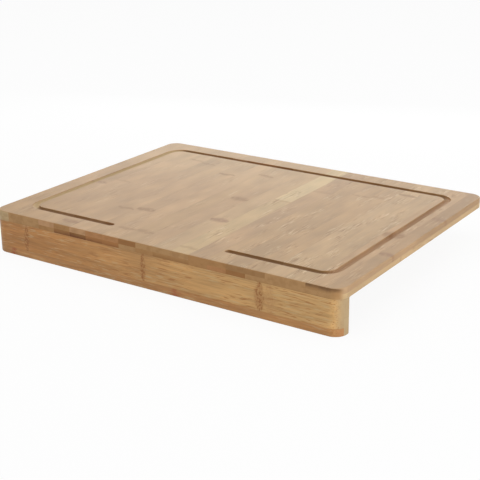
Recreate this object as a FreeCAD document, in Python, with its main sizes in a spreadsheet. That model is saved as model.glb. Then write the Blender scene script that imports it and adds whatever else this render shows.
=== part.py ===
import FreeCAD, Part
import math
import os
import Sketcher

# Worktop-edge cutting board of laminated bamboo: a panel of two plies of strips with a juice
# groove, and a front lip of two plies that hooks over the edge of a worktop.
# Frame: X left to right, Y front to back, Z up, origin under the middle of the board at the
# height of the lip's foot.

os.makedirs("parts", exist_ok=True)
doc = FreeCAD.newDocument("WorktopEdgeBoard")
sheet = doc.addObject("Spreadsheet::Sheet", "Sizes")

# Driving sizes in millimetres
sizes = {
    "board_width": 450,            # left to right
    "board_depth": 340,            # front to back
    "corner_radius": 14,           # corners seen from above
    "ply_thickness": 6,            # one ply of the panel
    "top_round": 1.5,              # round along the panel's upper edge
    "bottom_round": 0.8,           # round along the panel's lower edge
    "groove_width": 8,
    "groove_depth": 3.5,
    "groove_corner_radius": 16.5,  # on the groove's middle line
    "groove_side_inset": 27.5,     # edge of the board to the groove's middle line
    "groove_back_inset": 28,
    "groove_front_inset": 30.5,
    "groove_gap": 147,             # plain wood between the two stubs at the front
    "lip_reach": 38,               # underside of the panel to the lip's foot
    "lip_ply_thickness": 8.5,
    "lip_foot_strip": 8.75,        # height of the narrow front strip
    "lip_back_strip": 19,          # height of the lower back strip
    "lip_round": 1.5,              # round along the lip's foot and back corners
    "housing_depth": 1,            # how far the lip is let into the panel
    "housing_clearance": 0.1,      # behind the lip in its housing
    "dowel_diameter": 6,
    "dowel_length": 24,
    "dowel_chamfer": 0.8,
    "dowel_grip": 6,               # length of dowel that stands in the panel
    "dowel_side_clearance": 0.05,
    "dowel_end_clearance": 0.5,
    "cut_overrun": 5,              # how far a cut runs past the wood
}
for row, (alias, value) in enumerate(sizes.items(), start=1):
    sheet.set(f"A{row}", alias)
    sheet.set(f"B{row}", str(value))
    sheet.setAlias(f"B{row}", alias)
doc.recompute()

# Counts, and how the strips are set out
plies = ("bottom", "top")
lip_plies = {"front": "lip_foot_strip", "back": "lip_back_strip"}  # ply and its lower strip
strip_count = 20         # in each ply of the panel
last_strip_share = 0.7   # of a strip, left at the right edge when the outline is cut
dowel_count = 4

# Measures that several pieces share, as formulas of the sheet
half_width = "Sizes.board_width / 2"
half_depth = "Sizes.board_depth / 2"
panel_thickness = f"{len(plies)} * Sizes.ply_thickness"
lip_thickness = f"{len(lip_plies)} * Sizes.lip_ply_thickness"
lip_height = "Sizes.lip_reach + Sizes.housing_depth"
cutter_radius = "(Sizes.groove_width^2 / 4 + Sizes.groove_depth^2) / (2 * Sizes.groove_depth)"
cutter_height = f"{panel_thickness} - Sizes.groove_depth + {cutter_radius}"
groove_side = f"{half_width} - Sizes.groove_side_inset"
groove_back = f"{half_depth} - Sizes.groove_back_inset"
groove_front = f"{half_depth} - Sizes.groove_front_inset"
stub_end = "(Sizes.groove_gap + Sizes.groove_width) / 2"
dowel_bore = "Sizes.dowel_diameter / 2 + Sizes.dowel_side_clearance"
panel_bore_depth = "Sizes.housing_depth + Sizes.dowel_grip + Sizes.dowel_end_clearance"
lip_bore_depth = "Sizes.dowel_length - Sizes.dowel_grip + Sizes.dowel_end_clearance"
dowel_row = f"{half_depth} - {lip_thickness} / 2"
dowel_spacing = f"Sizes.board_width / {dowel_count}"
strip_width = f"Sizes.board_width / {strip_count - 1 + last_strip_share}"


def size(alias):
    return float(sheet.get(alias))


def bind(target, formulas):
    for path, formula in formulas.items():
        target.setExpression(path, formula)


lip_depth = len(lip_plies) * size("lip_ply_thickness")
panel_top = len(plies) * size("ply_thickness")


def new_body(name, height):
    body = doc.addObject("PartDesign::Body", name)
    bind(body, {"Placement.Base.z": height})
    return body


def new_sketch(body, name, role, offset):
    sketch = body.newObject("Sketcher::SketchObject", name)
    plane = next(item for item in body.Origin.OriginFeatures if item.Role == role)
    sketch.AttachmentSupport = (plane, [""])
    sketch.MapMode = "FlatFace"
    bind(sketch, {"AttachmentOffset.Base.z": offset})
    return sketch


def dimension(sketch, kind, references, value, formula):
    index = sketch.addConstraint(Sketcher.Constraint(kind, *references, value))
    sketch.setExpression(f"Constraints[{index}]", formula)


def place_point(sketch, point, axis, formula):
    # Distance of a point from the sketch's origin along one axis, always positive
    along = getattr(sketch.getPoint(*point), axis)
    origin = (-1, 1)
    references = (*origin, *point) if along > 0 else (*point, *origin)
    dimension(sketch, f"Distance{axis.upper()}", references, abs(along), formula)


def draw_path(sketch, corners, radius, closed):
    # Straight runs joined by equal tangent arcs, drawn anticlockwise round square corners
    points = [FreeCAD.Vector(*corner) for corner in corners]
    if closed:
        points.append(points[0])
    heads = [(end - start).normalize() for start, end in zip(points, points[1:])]
    runs = []
    for number, head in enumerate(heads):
        start = points[number]
        end = points[number + 1]
        if closed or number > 0:
            start = start + head * radius
        if closed or number < len(heads) - 1:
            end = end - head * radius
        runs.append(sketch.addGeometry(Part.LineSegment(start, end), False))
        level = "Horizontal" if head.y == 0 else "Vertical"
        sketch.addConstraint(Sketcher.Constraint(level, runs[-1]))
    pairs = list(zip(runs, runs[1:]))
    if closed:
        pairs.append((runs[-1], runs[0]))
    arcs = []
    for before, after in pairs:
        start = sketch.getPoint(before, 2)
        turn = heads[runs.index(after)]
        centre = start + turn * radius
        angle = math.atan2(-turn.y, -turn.x)
        circle = Part.Circle(centre, FreeCAD.Vector(0, 0, 1), radius)
        arcs.append(sketch.addGeometry(Part.ArcOfCircle(circle, angle, angle + math.pi / 2), False))
        sketch.addConstraint(Sketcher.Constraint("Tangent", before, 2, arcs[-1], 1))
        sketch.addConstraint(Sketcher.Constraint("Tangent", arcs[-1], 2, after, 1))
    for arc in arcs[1:]:
        sketch.addConstraint(Sketcher.Constraint("Equal", arcs[0], arc))
    return runs, arcs


def draw_outline(sketch):
    # The board's outline seen from above, a rectangle with round corners
    x = size("board_width") / 2
    y = size("board_depth") / 2
    radius = size("corner_radius")
    corners = [(-x, -y), (x, -y), (x, y), (-x, y)]
    runs, arcs = draw_path(sketch, corners, radius, True)
    for run, axis in zip(runs, "yxyx"):
        place_point(sketch, (run, 1), axis, half_depth if axis == "y" else half_width)
    dimension(sketch, "Radius", (arcs[0],), radius, "Sizes.corner_radius")


def draw_across(sketch, front, back, front_formula, back_formula):
    # A rectangle wider than the board, from one depth to another
    x = size("board_width") / 2 + size("cut_overrun")
    corners = [(-x, front), (x, front), (x, back), (-x, back)]
    ends = corners[1:] + corners[:1]
    sides = []
    for start, end in zip(corners, ends):
        line = Part.LineSegment(FreeCAD.Vector(*start), FreeCAD.Vector(*end))
        sides.append(sketch.addGeometry(line, False))
    for side, following in zip(sides, sides[1:] + sides[:1]):
        sketch.addConstraint(Sketcher.Constraint("Coincident", side, 2, following, 1))
    for side, level in zip(sides, ("Horizontal", "Vertical", "Horizontal", "Vertical")):
        sketch.addConstraint(Sketcher.Constraint(level, side))
    place_point(sketch, (sides[0], 1), "y", front_formula)
    place_point(sketch, (sides[2], 1), "y", back_formula)
    for side in (sides[1], sides[3]):
        place_point(sketch, (side, 1), "x", "Sizes.board_width / 2 + Sizes.cut_overrun")


def draw_circle(sketch, x, y, radius, formulas):
    # formulas: distance along x, distance along y, radius
    centre = FreeCAD.Vector(x, y)
    circle = sketch.addGeometry(Part.Circle(centre, FreeCAD.Vector(0, 0, 1), radius), False)
    place_point(sketch, (circle, 3), "x", formulas[0])
    place_point(sketch, (circle, 3), "y", formulas[1])
    dimension(sketch, "Radius", (circle,), radius, formulas[2])


def add_pad(body, name, sketch, length):
    pad = body.newObject("PartDesign::Pad", name)
    pad.Profile = sketch
    bind(pad, {"Length": length})
    doc.recompute()
    return pad


def add_pocket(body, name, sketch, depth, upward):
    pocket = body.newObject("PartDesign::Pocket", name)
    pocket.Profile = sketch
    pocket.Reversed = upward
    bind(pocket, {"Length": depth})
    doc.recompute()
    return pocket


def add_rounds(body, name, radius, wanted):
    # Rounds the edges whose every end and middle point is wanted
    base = body.Tip
    names = []
    for number, edge in enumerate(base.Shape.Edges, start=1):
        probes = [vertex.Point for vertex in edge.Vertexes] + [edge.CenterOfMass]
        if all(wanted(probe) for probe in probes):
            names.append(f"Edge{number}")
    fillet = body.newObject("PartDesign::Fillet", name)
    fillet.Base = (base, names)
    bind(fillet, {"Radius": radius})
    doc.recompute()


def same(first, second):
    return abs(first - second) < Part.Precision.approximation()


def drill_row(body, name, offset, depth, upward):
    # A row of dowel bores in the middle of the lip's thickness
    sketch = new_sketch(body, f"{name}Sketch", "XY_Plane", offset)
    gaps = dowel_count - 1
    reach = gaps / 2 * size("board_width") / dowel_count
    row = (lip_depth - size("board_depth")) / 2
    radius = size("dowel_diameter") / 2 + size("dowel_side_clearance")
    draw_circle(sketch, -reach, row, radius, (f"{gaps} / 2 * {dowel_spacing}", dowel_row, dowel_bore))
    pocket = add_pocket(body, name, sketch, depth, upward)
    pattern = body.newObject("PartDesign::LinearPattern", f"{name}Row")
    pattern.Originals = [pocket]
    pattern.Direction = (sketch, ["H_Axis"])
    pattern.Occurrences = dowel_count
    bind(pattern, {"Length": f"{gaps} * {dowel_spacing}"})
    body.Tip = pattern
    doc.recompute()


def make_panel():
    body = new_body("PanelBlank", "Sizes.lip_reach")
    outline = new_sketch(body, "PanelOutline", "XY_Plane", "0")
    draw_outline(outline)
    add_pad(body, "PanelPad", outline, panel_thickness)
    add_rounds(body, "UpperRound", "Sizes.top_round", lambda probe: same(probe.z, panel_top))
    add_rounds(body, "LowerRound", "Sizes.bottom_round", lambda probe: same(probe.z, 0))

    housing = new_sketch(body, "HousingOutline", "XY_Plane", "0")
    front = -size("board_depth") / 2
    wall = front + lip_depth + size("housing_clearance")
    draw_across(
        housing, front - size("cut_overrun"), wall,
        f"{half_depth} + Sizes.cut_overrun",
        f"{half_depth} - ({lip_thickness} + Sizes.housing_clearance)",
    )
    add_pocket(body, "Housing", housing, "Sizes.housing_depth", True)
    drill_row(body, "PanelBore", "0", panel_bore_depth, True)
    cut_groove(body)
    return body


def cut_groove(body):
    # A ball-nosed cutter follows the path and leaves a round end at each stub
    x = size("board_width") / 2 - size("groove_side_inset")
    back = size("board_depth") / 2 - size("groove_back_inset")
    front = -(size("board_depth") / 2 - size("groove_front_inset"))
    end = (size("groove_gap") + size("groove_width")) / 2
    bend = size("groove_corner_radius")
    path = new_sketch(body, "GroovePath", "XY_Plane", cutter_height)
    corners = [(end, front), (x, front), (x, back), (-x, back), (-x, front), (-end, front)]
    runs, arcs = draw_path(path, corners, bend, False)
    for run, formula in zip(runs, (groove_front, groove_side, groove_back, groove_side, groove_front)):
        place_point(path, (run, 1), "x" if formula == groove_side else "y", formula)
    place_point(path, (runs[0], 1), "x", stub_end)
    place_point(path, (runs[-1], 2), "x", stub_end)
    dimension(path, "Radius", (arcs[0],), bend, "Sizes.groove_corner_radius")

    depth = size("groove_depth")
    radius = (size("groove_width") ** 2 / 4 + depth ** 2) / (2 * depth)
    height = panel_top - depth + radius
    section = new_sketch(body, "GrooveSection", "YZ_Plane", stub_end)
    draw_circle(section, front, height, radius, (groove_front, cutter_height, cutter_radius))
    doc.recompute()
    groove = body.newObject("PartDesign::SubtractivePipe", "JuiceGroove")
    groove.Profile = section
    groove.Spine = (path, [f"Edge{number}" for number in range(1, len(path.Shape.Edges) + 1)])
    doc.recompute()
    for name, place in (("RightStubEnd", stub_end), ("LeftStubEnd", f"-{stub_end}")):
        ball = body.newObject("PartDesign::SubtractiveSphere", name)
        bind(ball, {
            "Radius": cutter_radius,
            "Placement.Base.x": place,
            "Placement.Base.y": f"-({groove_front})",
            "Placement.Base.z": cutter_height,
        })
        doc.recompute()


def add_lip_block(body, name, offset, height):
    # The front part of the board's outline, as deep as the lip is thick
    outline = new_sketch(body, f"{name}Outline", "XY_Plane", offset)
    draw_outline(outline)
    add_pad(body, f"{name}Pad", outline, height)
    behind = new_sketch(body, f"{name}Back", "XY_Plane", offset)
    back = size("board_depth") / 2
    draw_across(
        behind, lip_depth - back, back + size("cut_overrun"),
        f"{half_depth} - {lip_thickness}",
        f"{half_depth} + Sizes.cut_overrun",
    )
    add_pocket(body, f"{name}Cut", behind, height, True)


def make_lip():
    body = new_body("LipBlank", "0")
    add_lip_block(body, "Lip", "0", "Sizes.lip_reach")
    side = size("board_width") / 2
    back = lip_depth - size("board_depth") / 2

    def exposed(probe):
        corner = same(abs(probe.x), side) and same(probe.y, back)
        return same(probe.z, 0) or corner

    add_rounds(body, "LipRound", "Sizes.lip_round", exposed)
    add_lip_block(body, "Tongue", "Sizes.lip_reach", "Sizes.housing_depth")
    drill_row(body, "LipBore", lip_height, lip_bore_depth, False)
    return body


def make_piece(label, stock, blank):
    # What the finished board keeps of a length of stock: sizes and low corner as formulas
    box = doc.addObject("Part::Box", f"{label}_stock")
    names = ("Length", "Width", "Height", "Placement.Base.x", "Placement.Base.y", "Placement.Base.z")
    bind(box, dict(zip(names, stock)))
    piece = doc.addObject("Part::Common", label)
    piece.Label = label
    piece.Base = box
    piece.Tool = blank
    return piece


def make_panel_strips(blank):
    strips = []
    for ply_number, ply in enumerate(plies):
        for number in range(strip_count):
            left = f"{number} * {strip_width} - {half_width}"
            stock = (
                strip_width, "Sizes.board_depth", "Sizes.ply_thickness",
                left, f"-{half_depth}", f"Sizes.lip_reach + {ply_number} * Sizes.ply_thickness",
            )
            strips.append(make_piece(f"{ply}_strip_{number + 1:02d}", stock, blank))
    return strips


def make_lip_strips(blank):
    strips = []
    for ply_number, (ply, lower) in enumerate(lip_plies.items()):
        front = f"-{half_depth} + {ply_number} * Sizes.lip_ply_thickness"
        plan = ("Sizes.board_width", "Sizes.lip_ply_thickness")
        low_stock = (*plan, f"Sizes.{lower}", f"-{half_width}", front, "0")
        high_stock = (*plan, f"{lip_height} - Sizes.{lower}", f"-{half_width}", front, f"Sizes.{lower}")
        strips.append(make_piece(f"lip_{ply}_lower", low_stock, blank))
        strips.append(make_piece(f"lip_{ply}_upper", high_stock, blank))
    return strips


def make_dowel(number):
    body = new_body(f"Dowel{number + 1}", f"{lip_height} + Sizes.dowel_grip - Sizes.dowel_length")
    bind(body, {
        "Placement.Base.x": f"{number - (dowel_count - 1) / 2} * {dowel_spacing}",
        "Placement.Base.y": f"-({dowel_row})",
    })
    sketch = new_sketch(body, f"Dowel{number + 1}Section", "XY_Plane", "0")
    radius = size("dowel_diameter") / 2
    circle = Part.Circle(FreeCAD.Vector(0, 0), FreeCAD.Vector(0, 0, 1), radius)
    rim = sketch.addGeometry(circle, False)
    sketch.addConstraint(Sketcher.Constraint("Coincident", rim, 3, -1, 1))
    dimension(sketch, "Radius", (rim,), radius, "Sizes.dowel_diameter / 2")
    pad = add_pad(body, f"Dowel{number + 1}Pad", sketch, "Sizes.dowel_length")
    chamfer = body.newObject("PartDesign::Chamfer", f"Dowel{number + 1}Chamfer")
    rims = [f"Edge{n}" for n, edge in enumerate(pad.Shape.Edges, start=1) if len(edge.Vertexes) == 1]
    chamfer.Base = (pad, rims)
    bind(chamfer, {"Size": "Sizes.dowel_chamfer"})
    return body


def make_dowels():
    group = doc.addObject("Part::Compound", "lip_dowels")
    group.Label = "lip_dowels"
    group.Links = [make_dowel(number) for number in range(dowel_count)]
    return group


panel = make_panel()
lip = make_lip()
nodes = make_panel_strips(panel) + make_lip_strips(lip) + [make_dowels()]
doc.recompute()

for item in doc.Objects:
    if "Invalid" in item.State or "Error" in item.State:
        raise RuntimeError(f"{item.Name} failed: {item.State}")
cuts = ("PartDesign::Pocket", "PartDesign::LinearPattern", "PartDesign::SubtractivePipe",
        "PartDesign::SubtractiveSphere")
for item in doc.Objects:
    if item.TypeId in cuts and item.Shape.Volume >= item.BaseFeature.Shape.Volume:
        raise RuntimeError(f"{item.Name} took no wood away")
for node in nodes:
    if node.Shape.isNull() or not node.Shape.isValid() or not node.Shape.Solids:
        raise RuntimeError(f"{node.Label} has no valid solid")
for node in nodes:
    node.Shape.exportStep(f"parts/{node.Label}.step")
    print(node.Label, len(node.Shape.Solids), round(node.Shape.Volume))
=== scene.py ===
import bpy
import math
from mathutils import Matrix, Vector


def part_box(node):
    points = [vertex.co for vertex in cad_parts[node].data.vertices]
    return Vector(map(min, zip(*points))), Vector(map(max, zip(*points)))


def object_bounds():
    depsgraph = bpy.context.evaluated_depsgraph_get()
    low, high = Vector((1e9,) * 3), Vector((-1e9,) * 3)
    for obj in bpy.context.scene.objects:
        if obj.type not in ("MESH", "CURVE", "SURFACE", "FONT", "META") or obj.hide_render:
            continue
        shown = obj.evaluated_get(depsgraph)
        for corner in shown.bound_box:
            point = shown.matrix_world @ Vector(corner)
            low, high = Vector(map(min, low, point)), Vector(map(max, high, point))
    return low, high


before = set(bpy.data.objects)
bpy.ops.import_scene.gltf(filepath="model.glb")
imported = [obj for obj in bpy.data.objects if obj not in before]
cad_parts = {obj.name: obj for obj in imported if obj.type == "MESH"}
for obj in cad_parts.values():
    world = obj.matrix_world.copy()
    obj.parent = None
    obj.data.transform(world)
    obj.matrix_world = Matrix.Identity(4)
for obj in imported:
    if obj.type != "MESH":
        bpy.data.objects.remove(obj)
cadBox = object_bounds()
mm = 0.001
print("frame loaded:", len(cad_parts), "nodes")

# camera, set by the board's edges and corners in the photo
cameraLook = {
    "place": (0.6853, -1.0187, 0.4544),
    "azimuth": 34.029,    # degrees from the front, towards the right
    "elevation": 20.163,
    "roll": -0.641,
    "lens": 84.37,        # mm
    "sensor": 36.0,
}


def placeCamera(look):
    data = bpy.data.cameras.new("boardCamera")
    data.lens = look["lens"]
    data.sensor_width = look["sensor"]
    camera = bpy.data.objects.new("boardCamera", data)
    turn = Matrix.Rotation(math.radians(look["azimuth"]), 4, "Z")
    tilt = Matrix.Rotation(math.radians(90 - look["elevation"]), 4, "X")
    roll = Matrix.Rotation(math.radians(look["roll"]), 4, "Z")
    camera.matrix_world = Matrix.Translation(look["place"]) @ turn @ tilt @ roll
    bpy.context.scene.collection.objects.link(camera)
    bpy.context.scene.camera = camera
    bpy.context.scene.view_settings.view_transform = "Standard"


placeCamera(cameraLook)
print("camera placed")


# small helpers for node trees: a value is a number, a colour or another node's socket
mixFactor, mixUnder, mixOver, mixResult = 0, 6, 7, 2    # colour sockets of the Mix node


def linearColour(screen):    # screen colour to the linear light that shaders use
    shares = [c / 255 for c in screen]
    return tuple(s / 12.92 if s < 0.04045 else ((s + 0.055) / 1.055) ** 2.4 for s in shares) + (1.0,)


def wire(tree, socket, value):
    if isinstance(value, bpy.types.NodeSocket):
        tree.links.new(value, socket)
    else:
        socket.default_value = value


def calc(tree, operation, *values):
    node = tree.nodes.new("ShaderNodeMath")
    node.operation = operation
    for socket, value in zip(node.inputs, values):
        wire(tree, socket, value)
    return node.outputs[0]


def fade(tree, value, start, end, low=0.0, high=1.0):    # smooth step, low at start and high at end
    node = tree.nodes.new("ShaderNodeMapRange")
    node.interpolation_type = "SMOOTHSTEP"
    for socket, given in zip(node.inputs, (value, start, end, low, high)):
        wire(tree, socket, given)
    return node.outputs[0]


def tint(tree, share, under, over, kind="MIX"):
    node = tree.nodes.new("ShaderNodeMix")
    node.data_type = "RGBA"
    node.blend_type = kind
    wire(tree, node.inputs[mixFactor], share)
    wire(tree, node.inputs[mixUnder], under)
    wire(tree, node.inputs[mixOver], over)
    return node.outputs[mixResult]


# tones of bamboo, as screen colours
tones = {
    "biscuit": (177, 143, 104),
    "linen": (173, 149, 111),
    "oat": (173, 140, 100),
    "cream": (182, 150, 110),
    "straw": (189, 159, 115),
    "butter": (196, 170, 126),
    "bone": (220, 198, 160),
    "wheat": (197, 155, 98),
    "honey": (177, 123, 66),
    "amber": (179, 129, 76),
    "dun": (163, 130, 92),
    "sage": (188, 162, 120),
    "blush": (187, 144, 101),
    "sand": (174, 134, 86),
    "fawn": (167, 123, 73),
    "copper": (174, 123, 75),
    "olive": (155, 115, 69),
    "chestnut": (163, 109, 57),
    "russet": (150, 102, 52),
    "umber": (134, 90, 40),
    "walnut": (104, 56, 12),
    "cocoa": (142, 84, 32),
    "bark": (131, 92, 48),
    "rust": (160, 82, 42),
    "plum": (132, 90, 60),
    # dark brown; in the groove it is partly painted shade of the recess
    "deepBrown": (92, 56, 18),
    "beech": (200, 160, 118),
    "fleck": (150, 104, 70),
}


def toneOf(name):
    return linearColour(tones[name])


# finish that all bamboo pieces share, lengths in mm
bambooLook = {
    "tone": "biscuit",
    "farToneAndLight": None,                    # tone further along the grain; a real change of tone on some strips, painted light on others
    "farToneAndLightFade": (0.0, 0.0),              # where it begins and is full
    "marks": (),                        # knuckles: place along the grain, half length, strength, tone
    "toneSpread": 0.08,                 # how far strips of one tone differ
    "grainShare": 1.0,                  # strength of streaks, fibres and dashes
    "drift": (26.0, 60.0, 0.33),        # width, length and share of the slow change of tone
    "streak": (3.0, 45.0, 0.09),
    "fibre": (0.6, 30.0, 0.20),
    "dash": (0.9, 14.0),
    "dashPatch": (16.0, 50.0),          # dashes come in patches of this size
    "patchFade": (0.48, 0.64),
    "darkDash": (0.57, 0.66, 0.66, "bark"),    # noise where dashes begin and are full, share, tone
    "paleDash": (0.43, 0.33, 0.56, "bone"),
    "knuckleBend": (9.0, 4.0),          # width of a wave in the knuckle's line, and its reach
    "knuckleLine": (1.3, 0.20),         # half width and share of a thin dark line
    "knuckleCloud": (5.0, 5.0, 0.66),   # width, length and share of the smudge round it
    "knuckleLens": (0.6, 0.4),          # how much it narrows to the strip's edges, and its least share
    "knuckleCore": 0.05,                # share of its length where it is full
    "cloudFade": (0.20, 0.50),
    "knuckleDot": (2.0, 2.0, 0.0),      # width, length and share of dots strung along it
    "darkDot": (0.50, 0.60),
    "paleDot": (0.47, 0.37),
    "paleDotTone": "butter",
    "endTone": "sand",
    "endFacing": (0.35, 0.80),          # how far a face turns to the fibre ends before it shows them
    "endBundle": (0.8, 0.08),           # size and share of the fibre bundles there
    "bundleFade": (0.50, 0.15),
    "endMottle": (8.0, 0.34),           # size and share of darker patches there
    "mottleFade": (0.38, 0.72),
    "skin": (0.0, 1.0, 0.0),            # height, depth and share of the culm's dense outer side
    "skinFade": (1.5, 0.5),             # where it begins and is full, as shares of that depth
    "skinTone": "umber",
    "skinFrom": 150.0,                  # it shows only further out than this, so not in a groove
    "glueAndShadowLine": (0.35, 0.20),               # half width and share of a glue line; on the lip the line under the panel is also painted shadow
    "roughness": 0.48,
    "endRoughness": 0.62,
    "fibreRoughness": 0.20,
    "ior": 1.45,
    "bump": (0.05, 0.35),               # depth and strength
}
noiseSteps = (7.3, 3.7)    # how far apart two seeds read the noise, across and along
level = 1000.0             # length of a noise that doesn't change along the grain
middle = 0.5               # of a noise or share that runs from 0 to 1
goldenShare = 0.618        # spreads the strips' shades and hidden knuckles evenly
fine, medium, coarse = 3.0, 2.0, 1.0    # detail of a noise
# seeds that keep the noises of the pieces, and those of one piece, apart
firstSeed = {"top": 0, "bottom": 40, "lip": 90, "dowels": 120}
seedOf = {"drift": 0.0, "streak": 0.2, "fibre": 0.4, "dash": 0.7, "dashPatch": 0.8, "endMottle": 0.9}


# millimetres across, along and through the grain, and how far a face turns to the fibres' ends
def grainAxes(tree, order):
    coords = tree.nodes.new("ShaderNodeTexCoord")
    metres = tree.nodes.new("ShaderNodeSeparateXYZ")
    tree.links.new(coords.outputs["Object"], metres.inputs[0])
    facing = tree.nodes.new("ShaderNodeSeparateXYZ")
    tree.links.new(coords.outputs["Normal"], facing.inputs[0])
    place = [calc(tree, "DIVIDE", metres.outputs[axis], mm) for axis in order]
    return place, calc(tree, "ABSOLUTE", facing.outputs[order[1]])


def grainNoise(tree, place, seed, width, length, detail=medium):
    across, along, through = place
    stepAcross, stepAlong = noiseSteps
    spot = tree.nodes.new("ShaderNodeCombineXYZ")
    wire(tree, spot.inputs[0], calc(tree, "MULTIPLY_ADD", across, 1 / width, stepAcross * seed))
    wire(tree, spot.inputs[1], calc(tree, "MULTIPLY_ADD", along, 1 / length, stepAlong * seed))
    wire(tree, spot.inputs[2], calc(tree, "DIVIDE", through, width))
    noise = tree.nodes.new("ShaderNodeTexNoise")
    noise.inputs["Scale"].default_value = 1
    noise.inputs["Detail"].default_value = detail
    tree.links.new(spot.outputs[0], noise.inputs["Vector"])
    return noise.outputs[0]


# masks of a knuckle's dark smudge, line and dots, and of its pale dots
def knuckle(tree, place, seed, look, span, mark):
    across, along = place[:2]
    spot, reach, strength = mark
    wave, bend = look["knuckleBend"]
    line = grainNoise(tree, place, seed + spot, wave, level)
    line = calc(tree, "MULTIPLY_ADD", line, 2 * bend, spot - bend)
    away = calc(tree, "ABSOLUTE", calc(tree, "SUBTRACT", along, line))
    # the smudge is a lens, narrower at the strip's edges
    low, high = span
    offset = calc(tree, "MULTIPLY_ADD", across, 2 / (high - low), (low + high) / (low - high))
    taper, least = look["knuckleLens"]
    bulge = calc(tree, "MULTIPLY_ADD", calc(tree, "MULTIPLY", offset, offset), -taper, 1.0)
    spread = calc(tree, "DIVIDE", away, calc(tree, "MAXIMUM", bulge, least))
    core = look["knuckleCore"] * reach
    width, length, share = look["knuckleCloud"]
    clouds = fade(tree, grainNoise(tree, place, seed + 2 * spot, width, length), *look["cloudFade"])
    smudge = fade(tree, spread, reach, core, 0.0, strength * share)
    dark = calc(tree, "MULTIPLY", smudge, clouds)
    width, share = look["knuckleLine"]
    thin = calc(tree, "MULTIPLY", fade(tree, away, width, 0.0, 0.0, strength * share), clouds)
    dark = calc(tree, "MAXIMUM", dark, thin)
    width, length, share = look["knuckleDot"]
    dots = grainNoise(tree, place, seed - spot, width, length, coarse)
    band = fade(tree, spread, reach, core, 0.0, strength * share)
    dark = calc(tree, "MAXIMUM", dark, calc(tree, "MULTIPLY", band, fade(tree, dots, *look["darkDot"])))
    pale = calc(tree, "MULTIPLY", band, fade(tree, dots, *look["paleDot"]))
    return dark, pale


# fibre bundles cut across, denser towards the outside of the culm
def endGrain(tree, place, seed, look):
    across, along, through = place
    size, share = look["endBundle"]
    spot = tree.nodes.new("ShaderNodeCombineXYZ")
    wire(tree, spot.inputs[0], calc(tree, "DIVIDE", across, size))
    wire(tree, spot.inputs[1], calc(tree, "DIVIDE", through, size))
    cells = tree.nodes.new("ShaderNodeTexVoronoi")
    cells.voronoi_dimensions = "2D"
    cells.inputs["Scale"].default_value = 1
    tree.links.new(spot.outputs[0], cells.inputs["Vector"])
    dark = fade(tree, cells.outputs["Distance"], *look["bundleFade"], 0.0, share)
    size, share = look["endMottle"]
    mottle = grainNoise(tree, place, seed + seedOf["endMottle"], size, level)
    dark = calc(tree, "ADD", dark, fade(tree, mottle, *look["mottleFade"], 0.0, share))
    colour = tint(tree, dark, toneOf(look["endTone"]), toneOf("umber"))
    height, depth, share = look["skin"]
    inward = calc(tree, "ABSOLUTE", calc(tree, "SUBTRACT", through, height))
    inward = calc(tree, "MULTIPLY_ADD", mottle, depth, inward)    # its inner side is uneven
    begin, full = look["skinFade"]
    dense = fade(tree, inward, begin * depth, full * depth, 0.0, share)
    shown = calc(tree, "GREATER_THAN", calc(tree, "ABSOLUTE", along), look["skinFrom"])
    return tint(tree, calc(tree, "MULTIPLY", shown, dense), colour, toneOf(look["skinTone"]))


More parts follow.
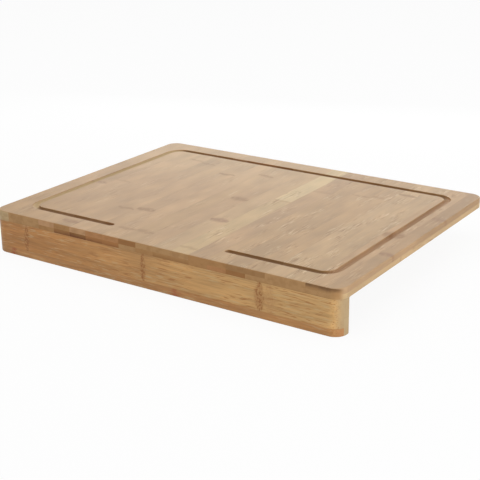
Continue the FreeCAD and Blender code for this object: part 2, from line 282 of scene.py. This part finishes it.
def bamboo(name, order, seed, look, span, groove=None):
    material = bpy.data.materials.new(name)
    material.use_nodes = True
    tree = material.node_tree
    shader = tree.nodes["Principled BSDF"]
    place, ending = grainAxes(tree, order)
    across, along, through = place
    colour = toneOf(look["tone"])
    # the far tone is a real change of tone on some strips and painted light on others
    if look["farToneAndLight"]:
        colour = tint(tree, fade(tree, along, *look["farToneAndLightFade"]), colour, toneOf(look["farToneAndLight"]))
    # tone drifts slowly along a strip, streaks and fibres vary it finely
    shade = 1 + look["toneSpread"] * (goldenShare * seed % 1 - middle)
    for kind in ("drift", "streak", "fibre"):
        width, length, share = look[kind]
        noise = grainNoise(tree, place, seed + seedOf[kind], width, length, fine)
        share *= 1 if kind == "drift" else look["grainShare"]
        shade = calc(tree, "MULTIPLY_ADD", calc(tree, "SUBTRACT", noise, middle), 2 * share, shade)
    fibres = noise
    grey = tree.nodes.new("ShaderNodeCombineXYZ")
    for socket in grey.inputs:
        wire(tree, socket, shade)
    colour = tint(tree, 1.0, colour, grey.outputs[0], "MULTIPLY")
    dashes = grainNoise(tree, place, seed + seedOf["dash"], *look["dash"], coarse)
    patches = grainNoise(tree, place, seed + seedOf["dashPatch"], *look["dashPatch"])
    patches = fade(tree, patches, *look["patchFade"])
    for kind in ("darkDash", "paleDash"):
        begin, full, share, dashTone = look[kind]
        mask = fade(tree, dashes, begin, full, 0.0, share * look["grainShare"])
        colour = tint(tree, calc(tree, "MULTIPLY", mask, patches), colour, toneOf(dashTone))
    for spot, reach, strength, markTone in look["marks"]:
        dark, pale = knuckle(tree, place, seed, look, span, (spot, reach, strength))
        colour = tint(tree, pale, colour, toneOf(look["paleDotTone"]))
        colour = tint(tree, dark, colour, toneOf(markTone))
    endMask = fade(tree, ending, *look["endFacing"])
    colour = tint(tree, endMask, colour, endGrain(tree, place, seed, look))
    # painted shade in the groove: darker with depth, most in the runs across the grain, whose cut end
    # grain is also darker; in the runs along the grain each strip paints its wall lighter or darker as
    # the light falls on it
    if groove:
        side = calc(tree, "ABSOLUTE", across)
        inSides = calc(tree, "LESS_THAN", side, groove["sideReach"])
        inEnds = calc(tree, "LESS_THAN", calc(tree, "ABSOLUTE", along), groove["endReach"])
        within = calc(tree, "MULTIPLY", inSides, inEnds)
        below = calc(tree, "SUBTRACT", groove["face"], through)
        cut = calc(tree, "MULTIPLY", within, fade(tree, below, *groove["depth"]))
        sideLightShadeTone, sideLightShadeShare = look["grooveSideLightAndShade"]
        endTone, endShadeShare = look["grooveEndShadeAndTone"]
        turned = fade(tree, side, *groove["turn"], 0.0, sideLightShadeShare)
        colour = tint(tree, calc(tree, "MULTIPLY", cut, turned), colour, toneOf(sideLightShadeTone))
        turned = fade(tree, side, *groove["turn"], endShadeShare, 0.0)
        colour = tint(tree, calc(tree, "MULTIPLY", cut, turned), colour, toneOf(endTone))
    # glue lines along the strip's two edges; on the lip the one at the panel's underside is also
    # painted shadow of the gap there
    width, share = look["glueAndShadowLine"]
    for edge in span:
        gap = calc(tree, "ABSOLUTE", calc(tree, "SUBTRACT", across, edge))
        colour = tint(tree, fade(tree, gap, width, 0.0, 0.0, share), colour, toneOf("umber"))
    rough = fade(tree, endMask, 0.0, 1.0, look["roughness"], look["endRoughness"])
    uneven = calc(tree, "SUBTRACT", fibres, middle)
    rough = calc(tree, "MULTIPLY_ADD", uneven, look["fibreRoughness"], rough)
    wire(tree, shader.inputs["Base Color"], colour)
    wire(tree, shader.inputs["Roughness"], rough)
    shader.inputs["IOR"].default_value = look["ior"]
    depth, strength = look["bump"]
    bump = tree.nodes.new("ShaderNodeBump")
    bump.inputs["Strength"].default_value = strength
    bump.inputs["Distance"].default_value = depth * mm
    wire(tree, bump.inputs["Height"], calc(tree, "ADD", fibres, dashes))
    wire(tree, shader.inputs["Normal"], bump.outputs[0])
    return material


# panel: two plies of strips whose grain runs front to back
panelLook = {
    "grain": "XYZ",
    "strips": 20,
    "pale": 12,             # number of the pale strip
    "smooth": {"grainShare": 0.45, "farToneAndLight": "cream", "farToneAndLightFade": (0, 110)},    # strips to its left; their cream far tone, lighter towards the back, is painted light
    "top": {
        1: {"endTone": "sage"},
        # strip 2's butter in the groove is painted light on the groove's lit wall
        2: {"marks": ((-27, 7, 0.8, "plum"),), "grooveSideLightAndShade": ("butter", 0.75)},
        3: {"marks": ((-8, 5, 0.4, "bark"),)},
        4: {"marks": ((114, 5, 0.5, "bark"),), "endTone": "blush"},
        5: {"marks": ((107, 5, 0.5, "bark"), (-155, 9, 0.7, "plum")), "endTone": "fawn"},
        6: {"marks": ((-87, 6, 0.7, "bark"),), "endTone": "blush"},
        7: {"marks": ((81, 6, 0.8, "bark"), (-79, 10, 1.0, "bark")), "endTone": "copper"},
        8: {"marks": ((-140, 6, 0.6, "bark"),), "endTone": "copper"},
        9: {"tone": "oat", "marks": ((101, 7, 0.7, "bark"), (-139, 9, 0.6, "bark")),
            "endTone": "russet"},
        10: {"marks": ((9, 12, 0.9, "bark"),)},
        11: {"tone": "cream", "marks": ((-66, 11, 1.0, "plum"),)},
        12: {"tone": "straw", "farToneAndLight": "butter", "farToneAndLightFade": (28, 31),
             "marks": ((29, 4, 0.6, "olive"), (-153, 6, 0.5, "bark"))},
        13: {"marks": ((80, 7, 0.3, "bark"),), "endTone": "fawn"},
        14: {"tone": "oat", "endTone": "fawn"},
        15: {"tone": "oat", "marks": ((92, 5, 0.5, "bark"),), "endTone": "olive"},
        16: {"tone": "oat", "marks": ((97, 8, 0.5, "bark"),), "endTone": "olive"},
        17: {"tone": "cream", "marks": ((121, 7, 0.9, "bark"),)},
        18: {"tone": "cream"},
        # strip 19's cocoa in the groove is painted shade on the groove's shaded wall
        19: {"marks": ((-8, 18, 1.0, "umber"),), "grooveSideLightAndShade": ("cocoa", 0.32),
             "skin": (6.5, 0.85), "skinTone": "deepBrown"},
        20: {"farToneAndLight": "dun", "farToneAndLightFade": (-110, 40), "grainShare": 0.4,
             "marks": ((63, 12, 0.6, "plum"), (-63, 9, 0.8, "plum")),
             "skin": (6.5, 0.85), "skinTone": "deepBrown"},
    },
    "bottom": {
        1: {"endTone": "sage"},
        4: {"endTone": "fawn"},
        5: {"endTone": "russet", "skin": (4.5, 0.70), "skinTone": "walnut"},
        6: {"endTone": "umber", "skin": (5.5, 0.95), "skinTone": "walnut"},
        7: {"endTone": "chestnut", "skin": (4.5, 0.65), "skinTone": "walnut"},
        8: {"endTone": "chestnut", "skin": (3.5, 0.40), "skinTone": "walnut"},
        10: {"endTone": "fawn"},
        11: {"endTone": "fawn", "skin": (4.5, 0.60)},
        12: {"endTone": "fawn", "skin": (4.5, 0.50)},
        13: {"endTone": "fawn"},
        14: {"endTone": "copper"},
        15: {"endTone": "russet"},
        20: {"tone": "straw"},
    },
    "skin": {"top": (1.0, 0.50), "bottom": (1.5, 0.20)},    # depth and share where a strip gives none; on the top ply the thin band under the top arris is the culm's dense outer side and painted shade of the rounded arris
    "underMark": (7.0, 0.6, "bark"),    # half length, strength and tone of the knuckles underneath
    "grooveSideLightAndShade": ("deepBrown", 0.03),     # painted shade of the walls in the runs along the grain, as tone and share
    "grooveEndShadeAndTone": ("deepBrown", 0.65),      # and in those across it, painted shade over their darker end grain
    "grooveMargin": 12.0,               # the groove lies further in than this from every edge
    "grooveDepth": (0.15, 1.2),         # its painted shade begins and is full at these depths
    "grooveTurn": (40.0, 30.0),         # the runs across end this far from the side edges
}


def finishPanel(look):
    low, high = cadBox
    groove = {
        "face": high.z / mm,
        "sideReach": high.x / mm - look["grooveMargin"],
        "endReach": high.y / mm - look["grooveMargin"],
        "depth": look["grooveDepth"],
        "turn": [high.x / mm - inset for inset in look["grooveTurn"]],
    }
    skinHeight = {"top": high.z / mm, "bottom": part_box("lip_front_upper")[1].z / mm}
    for ply in ("top", "bottom"):
        for number in range(1, look["strips"] + 1):
            node = f"{ply}_strip_{number:02d}"
            start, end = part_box(node)
            strip = dict(bambooLook, grooveSideLightAndShade=look["grooveSideLightAndShade"], grooveEndShadeAndTone=look["grooveEndShadeAndTone"])
            if number < look["pale"]:
                strip.update(look["smooth"])
            strip["skin"] = look["skin"][ply]
            if ply == "bottom":
                spot = low.y / mm + goldenShare * number % 1 * (high.y - low.y) / mm
                strip["marks"] = ((spot, *look["underMark"]),)
            strip.update(look[ply].get(number, {}))
            strip["skin"] = (skinHeight[ply], *strip["skin"])
            seed = firstSeed[ply] + number
            span = (start.x / mm, end.x / mm)
            name = f"{ply}Strip{number:02d}Bamboo"
            material = bamboo(name, look["grain"], seed, strip, span, groove if ply == "top" else None)
            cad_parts[node].material_slots[0].material = material
        print(ply, "ply finished:", look["strips"], "strips")


finishPanel(panelLook)

# lip: four strips whose grain runs left to right
lipLook = {
    "grain": "ZXY",
    "shared": {
        "grainShare": 1.2,
        "drift": (12.0, 90.0, 0.34),
        "streak": (3.2, 55.0, 0.30),
        "dash": (1.2, 15.0),
        "patchFade": (0.30, 0.55),
        "darkDash": (0.57, 0.68, 0.70, "chestnut"),
        "paleDash": (0.42, 0.32, 0.45, "butter"),
        "knuckleBend": (6.0, 2.0),
        "knuckleLine": (1.3, 0.0),
        "knuckleCloud": (4.0, 5.0, 0.40),
        "knuckleDot": (2.4, 2.2, 0.80),
        "knuckleCore": 0.35,
        "darkDot": (0.48, 0.58),
        "paleDot": (0.45, 0.35),
        "paleDotTone": "wheat",
        "endTone": "linen",
        "endFacing": (0.35, 0.98),
        "endMottle": (14.0, 0.15),
        "glueAndShadowLine": (0.45, 0.22),
    },
    "lip_front_upper": {
        "tone": "honey",
        # painted light: the upper strip turns lighter towards the right end, where the light falls
        # stronger
        "farToneAndLight": "wheat",
        "farToneAndLightFade": (-200, 180),
        "marks": ((-176, 5, 1.0, "cocoa"), (-11, 5, 1.0, "cocoa"),
                  (134, 8, 1.0, "cocoa"), (146, 9, 0.5, "copper")),
    },
    "lip_front_lower": {
        "tone": "amber",
        "drift": (12.0, 90.0, 0.18),
        "marks": ((-206, 16, 0.4, "chestnut"), (-196, 9, 1.0, "rust"), (31, 10, 0.75, "rust")),
        "knuckleCloud": (4.0, 6.0, 0.90),
        "knuckleCore": 0.15,
        "cloudFade": (0.30, 0.58),
        "knuckleDot": (2.4, 2.2, 0.0),
        "endTone": "copper",
    },
    "lip_back_upper": {"marks": ((60, 6, 0.7, "bark"), (-120, 6, 0.6, "bark"))},
    "lip_back_lower": {"marks": ((-40, 6, 0.7, "bark"),)},
}


def finishLip(look):
    names = {"lip_front_upper": "lipFrontUpper", "lip_front_lower": "lipFrontLower",
             "lip_back_upper": "lipBackUpper", "lip_back_lower": "lipBackLower"}
    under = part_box("bottom_strip_01")[0].z    # the panel's underside, where the lip's face begins; the line drawn there is partly painted shadow
    for number, (node, name) in enumerate(names.items()):
        start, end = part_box(node)
        strip = dict(bambooLook, **look["shared"])
        strip.update(look[node])
        span = (start.z / mm, min(end.z, under) / mm)
        material = bamboo(name + "Bamboo", look["grain"], firstSeed["lip"] + number, strip, span)
        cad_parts[node].material_slots[0].material = material
    print("lip finished:", len(names), "strips")


finishLip(lipLook)

# dowels inside the joint, beech with short flecks
dowelLook = dict(
    bambooLook,
    grain="XZY",
    tone="beech",
    endTone="fleck",
    fibre=(0.4, 6.0, 0.30),
    dash=(0.5, 2.5),
    darkDash=(0.58, 0.70, 0.45, "fleck"),
)


def finishDowels(look):
    start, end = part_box("lip_dowels")
    span = (start.x / mm, end.x / mm)
    material = bamboo("dowelBeech", look["grain"], firstSeed["dowels"], look, span)
    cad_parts["lip_dowels"].material_slots[0].material = material
    print("dowels finished")


finishDowels(dowelLook)

# studio: pale floor, white surround and soft boxes
studioLook = {
    "floorHalf": 20.0,
    "floorColour": (0.90, 0.90, 0.90, 1),
    "floorWhite": 0.92,        # share of plain white that the camera sees on the floor
    "ambient": 0.58,           # level of the surround as a light
    "boxes": {
        "overheadBox": {"place": (0.0, 0.0, 1.6), "size": (2.0, 2.0), "watts": 10.6},
        "backBox": {"place": (-0.25, 0.62, 0.22), "size": (1.0, 0.22), "watts": 0.9},
        "rightBox": {"place": (1.6, -0.3, 0.27), "size": (1.4, 0.5), "watts": 11.3},
    },
    "aim": (0.0, 0.0, 0.03),
}


def softBox(name, box, aim):
    data = bpy.data.lights.new(name, "AREA")
    data.shape = "RECTANGLE"
    data.size, data.size_y = box["size"]
    data.energy = box["watts"]
    lamp = bpy.data.objects.new(name, data)
    lamp.location = box["place"]
    lamp.rotation_euler = (Vector(aim) - lamp.location).to_track_quat("-Z", "Y").to_euler()
    bpy.context.scene.collection.objects.link(lamp)


def seenRays(tree):    # 1 where the camera looks, straight, in a reflection or through glass
    rays = tree.nodes.new("ShaderNodeLightPath")
    seen = calc(tree, "MAXIMUM", rays.outputs["Is Camera Ray"], rays.outputs["Is Glossy Ray"])
    return calc(tree, "MAXIMUM", seen, rays.outputs["Is Transmission Ray"])


def makeStudio(look):
    half = look["floorHalf"]
    mesh = bpy.data.meshes.new("floor")
    corners = [(-half, -half, 0), (half, -half, 0), (half, half, 0), (-half, half, 0)]
    mesh.from_pydata(corners, [], [(0, 1, 2, 3)])
    floor = bpy.data.objects.new("floor", mesh)
    bpy.context.scene.collection.objects.link(floor)
    paper = bpy.data.materials.new("floorPaper")
    paper.use_nodes = True
    tree = paper.node_tree
    tree.nodes.remove(tree.nodes["Principled BSDF"])
    matt = tree.nodes.new("ShaderNodeBsdfDiffuse")
    matt.inputs["Color"].default_value = look["floorColour"]
    white = tree.nodes.new("ShaderNodeEmission")
    both = tree.nodes.new("ShaderNodeMixShader")
    wire(tree, both.inputs[0], calc(tree, "MULTIPLY", seenRays(tree), look["floorWhite"]))
    tree.links.new(matt.outputs[0], both.inputs[1])
    tree.links.new(white.outputs[0], both.inputs[2])
    tree.links.new(both.outputs[0], tree.nodes["Material Output"].inputs["Surface"])
    mesh.materials.append(paper)
    world = bpy.data.worlds.new("studio")
    world.use_nodes = True
    bpy.context.scene.world = world
    tree = world.node_tree
    sky = tree.nodes["Background"]
    sky.inputs["Color"].default_value = (1, 1, 1, 1)
    strength = fade(tree, seenRays(tree), 0.0, 1.0, look["ambient"], 1.0)
    wire(tree, sky.inputs["Strength"], strength)
    for name, box in look["boxes"].items():
        softBox(name, box, look["aim"])


makeStudio(studioLook)
print("studio lit")
